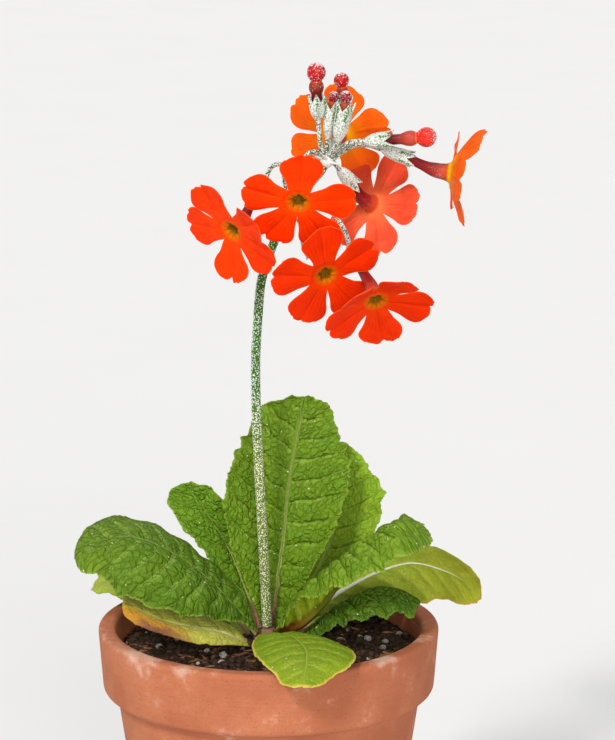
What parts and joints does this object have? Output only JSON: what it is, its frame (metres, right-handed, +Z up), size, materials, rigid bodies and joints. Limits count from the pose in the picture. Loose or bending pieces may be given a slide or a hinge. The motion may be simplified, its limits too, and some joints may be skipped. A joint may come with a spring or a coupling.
{
  "type": "potted primrose",
  "caption": "Candelabra primrose with crinkled green leaves, a mealy stem, whorls of notched orange flowers and red buds, growing in a plain terracotta pot.",
  "frame": {"origin": "middle of the underside of the pot, on the surface that the pot stands on", "axes": "+Z up along the axis of the pot, +X to the right and -Y towards the viewer in the picture"},
  "size_m": [0.1063, 0.1041, 0.235],
  "materials": {
    "clay": "matte",
    "compost": "matte",
    "crown": "matte",
    "scape": "matte",
    "leaf": "satin",
    "petal": "satin",
    "tube": "satin"
  },
  "bodies": {
    "root": {"pot": "clay", "compost": "compost", "crown": "crown", "scape": "scape", "leaf_1": "leaf", "leaf_2": "leaf", "leaf_3": "leaf", "leaf_4": "leaf", "leaf_5": "leaf", "leaf_6": "leaf", "leaf_7": "leaf", "leaf_8": "leaf", "leaf_9": "leaf", "leaf_10": "leaf", "leaf_11": "leaf", "leaf_12": "leaf", "flower_1_limb": "petal", "flower_2_limb": "petal", "flower_3_limb": "petal", "flower_4_limb": "petal", "flower_5_limb": "petal", "flower_6_limb": "petal", "flower_7_limb": "petal", "flower_1_tube": "tube", "flower_2_tube": "tube", "flower_3_tube": "tube", "flower_4_tube": "tube", "flower_5_tube": "tube", "flower_6_tube": "tube", "flower_7_tube": "tube", "bud_1": "tube", "bud_2": "tube", "bud_3": "tube", "bud_4": "tube", "bud_5": "tube"}
  },
  "joints": []
}
